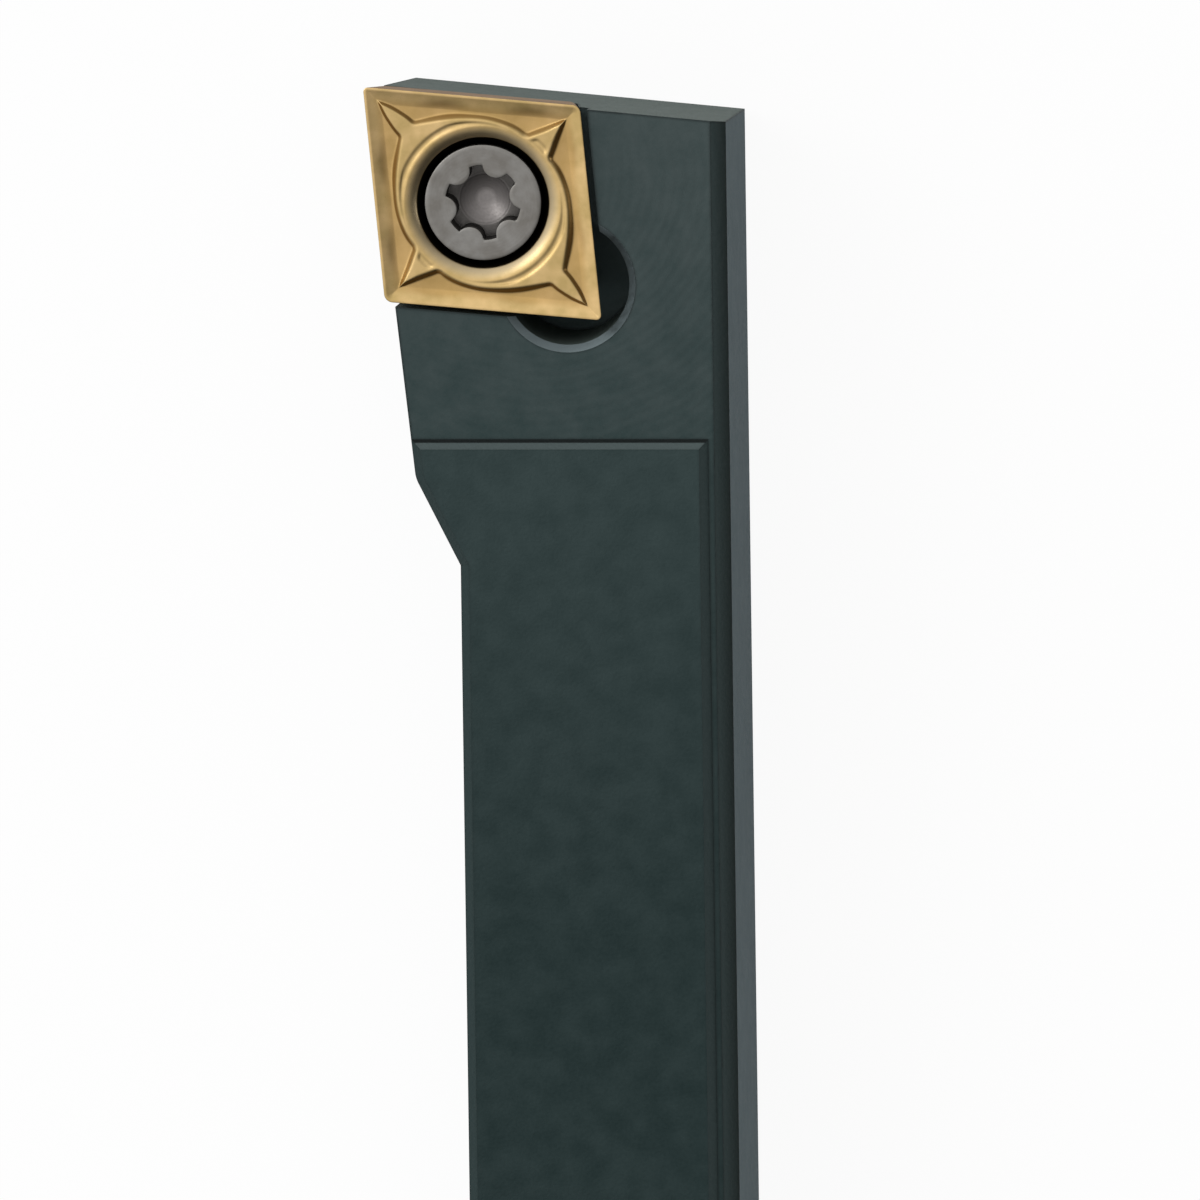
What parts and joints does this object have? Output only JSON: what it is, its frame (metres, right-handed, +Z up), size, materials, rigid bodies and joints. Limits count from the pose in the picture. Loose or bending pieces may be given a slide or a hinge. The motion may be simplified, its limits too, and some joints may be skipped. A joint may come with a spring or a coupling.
{
  "type": "turning tool holder",
  "caption": "Square-shank external turning tool holder, right hand, with an offset relieved head and a rhombic indexable insert held in its pocket by a countersunk screw.",
  "frame": {"origin": "on the base of the shank, in the middle of its width and half-way along the tool", "axes": "+Z up, square to the base; +Y along the shank towards the cutting tip; +X out of the datum side, away from the tip"},
  "size_m": [0.016, 0.08, 0.0121],
  "materials": {
    "blackened_steel": "blackened alloy steel, finely grained",
    "coated_carbide": "gold-coloured hard coating on cemented carbide",
    "screw_steel": "turned steel, satin"
  },
  "bodies": {
    "holder": {"holder": "blackened_steel"},
    "insert": {"insert": "coated_carbide"},
    "clamp_screw": {"clamp_screw": "screw_steel"}
  },
  "joints": [
    {"name": "insert_lift", "type": "slide", "parent": "holder", "child": "insert", "axis": [0, 0, 1], "range_m": [0, 0.006]},
    {"name": "screw_out", "type": "slide", "parent": "insert", "child": "clamp_screw", "axis": [0, 0, 1], "range_m": [0, 0.01]}
  ]
}
